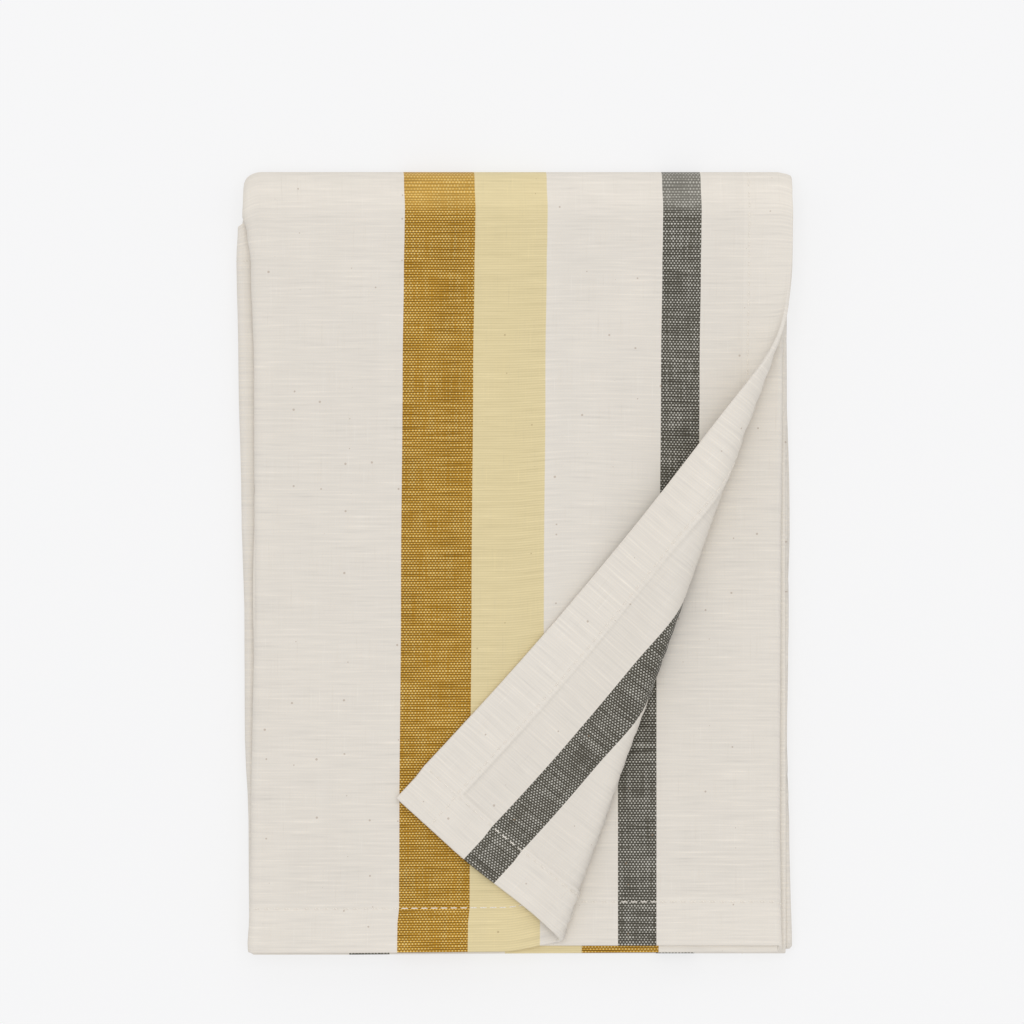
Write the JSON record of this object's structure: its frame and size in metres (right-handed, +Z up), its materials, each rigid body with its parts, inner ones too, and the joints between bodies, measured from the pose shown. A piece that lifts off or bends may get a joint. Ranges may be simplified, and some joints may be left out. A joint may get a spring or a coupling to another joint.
{
  "type": "folded tea towel",
  "caption": "Striped woven cotton tea towel folded in thirds both ways and lying flat, with one corner of its top layer rolled back.",
  "frame": {"origin": "middle of the towel's outline, on the surface it lies on", "axes": "+Z up off the surface; +Y along the long side, towards the folded end; +X towards the side whose corner is turned back"},
  "size_m": [0.1702, 0.2394, 0.024],
  "materials": {
    "woven_cotton": "undyed slubby plain-weave cotton with yarn-dyed grey, pale yellow and mustard stripes, matt"
  },
  "bodies": {
    "root": {"tea_towel": "woven_cotton"}
  },
  "joints": []
}
